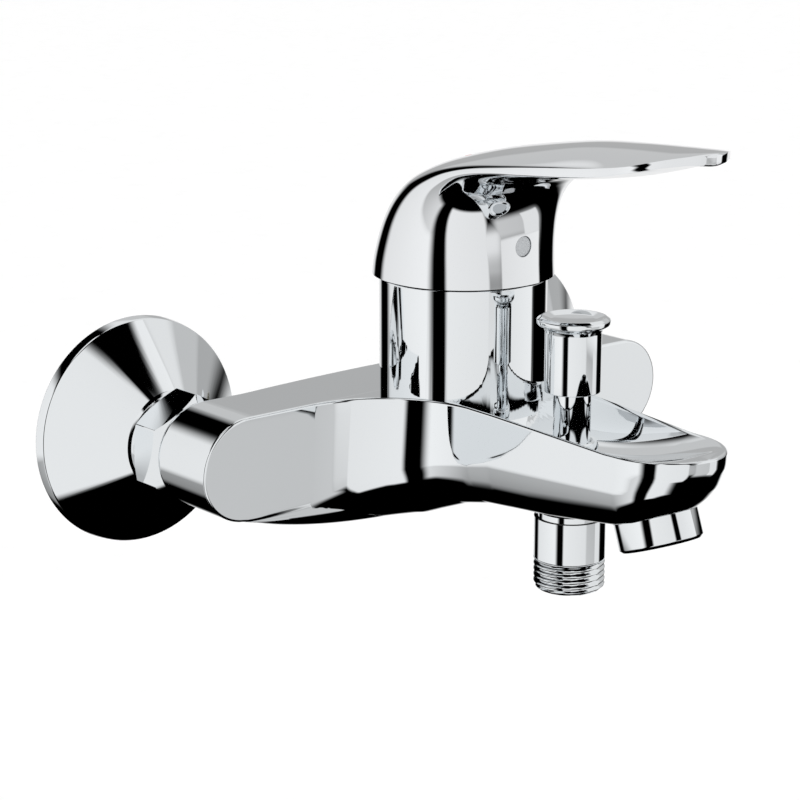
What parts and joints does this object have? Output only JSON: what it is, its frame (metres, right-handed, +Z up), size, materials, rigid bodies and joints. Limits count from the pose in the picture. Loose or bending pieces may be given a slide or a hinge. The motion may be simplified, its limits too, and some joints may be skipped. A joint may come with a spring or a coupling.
{
  "type": "wall mounted bath faucet",
  "caption": "Wall mounted single-lever bath mixer with cone escutcheons, a scooped spout, a pull-up diverter and a threaded hose outlet.",
  "frame": {"origin": "on the wall face, midway between the two wall threads", "axes": "+X along the wall to the right as seen from the front, +Y into the wall, +Z up; the spout and lever point to -Y"},
  "size_m": [0.2202, 0.1827, 0.1335],
  "materials": {
    "chrome_plate": "polished chrome plate on cast brass",
    "zinc_chrome": "polished chrome plate on zinc die casting",
    "nickel_brass": "matt nickel plate on brass",
    "bare_brass": "turned brass",
    "stainless": "drawn stainless steel",
    "nbr_rubber": "moulded nitrile rubber",
    "pom_white": "moulded acetal",
    "pom_black": "moulded acetal",
    "alumina": "lapped alumina ceramic",
    "grey_plug": "moulded ABS",
    "hot_red": "red enamel dot",
    "cold_blue": "blue enamel dot"
  },
  "bodies": {
    "mixer_body": {"body_casting": "chrome_plate", "left_wall_union": "nickel_brass", "right_wall_union": "nickel_brass", "left_escutcheon": "chrome_plate", "right_escutcheon": "chrome_plate", "left_union_nut": "chrome_plate", "right_union_nut": "chrome_plate", "left_inlet_seal": "nbr_rubber", "right_inlet_seal": "nbr_rubber", "left_inlet_tail": "bare_brass", "right_inlet_tail": "bare_brass", "left_dirt_strainer": "pom_white", "right_dirt_strainer": "pom_white", "cartridge_base": "pom_white", "cartridge_port_seals": "nbr_rubber", "cartridge_housing": "pom_black", "cartridge_fixed_disc": "alumina", "cartridge_nut": "bare_brass", "diverter_bonnet": "chrome_plate", "diverter_spring": "stainless", "hose_outlet": "chrome_plate", "check_valve_body": "pom_white", "check_valve_spring": "stainless", "aerator_housing": "chrome_plate", "aerator_insert": "pom_white", "aerator_seal": "nbr_rubber"},
    "cartridge_turret": {"cartridge_rotor": "pom_black", "cartridge_pivot_pin": "stainless"},
    "mixing_disc": {"cartridge_disc_carrier": "pom_white", "cartridge_moving_disc": "alumina"},
    "lever": {"cartridge_stem": "bare_brass", "lever_handle": "zinc_chrome", "lever_set_screw": "stainless", "lever_screw_plug": "grey_plug", "hot_mark": "hot_red", "cold_mark": "cold_blue"},
    "diverter": {"diverter_knob": "chrome_plate", "diverter_stem": "chrome_plate", "diverter_stem_seal": "nbr_rubber", "diverter_valve": "bare_brass", "diverter_washers": "nbr_rubber"},
    "check_poppet": {"check_valve_poppet": "pom_black"}
  },
  "joints": [
    {"name": "temperature_turn", "type": "hinge", "parent": "mixer_body", "child": "cartridge_turret", "pos_m": [0, -0.0663, 0.027], "axis": [0, 0, 1], "range_deg": [-45, 45]},
    {"name": "lever_lift", "type": "hinge", "parent": "cartridge_turret", "child": "lever", "pos_m": [0, -0.0663, 0.027], "axis": [-1, 0, 0], "range_deg": [0, 20]},
    {"name": "disc_slide", "type": "slide", "parent": "cartridge_turret", "child": "mixing_disc", "axis": [0, -1, 0], "range_m": [0, 0.0034]},
    {"name": "diverter_lift", "type": "slide", "parent": "mixer_body", "child": "diverter", "axis": [0, 0, 1], "range_m": [0, 0.005], "stiffness_N_per_m": 120, "springref_m": -0.02, "deforming": ["diverter_spring"]},
    {"name": "check_valve_open", "type": "slide", "parent": "mixer_body", "child": "check_poppet", "axis": [0, 0, -1], "range_m": [0, 0.003], "stiffness_N_per_m": 40, "springref_m": -0.003, "deforming": ["check_valve_spring"]}
  ],
  "couplings": [
    {"joint": "disc_slide", "follows": "lever_lift", "m_per_rad": 0.0095}
  ]
}
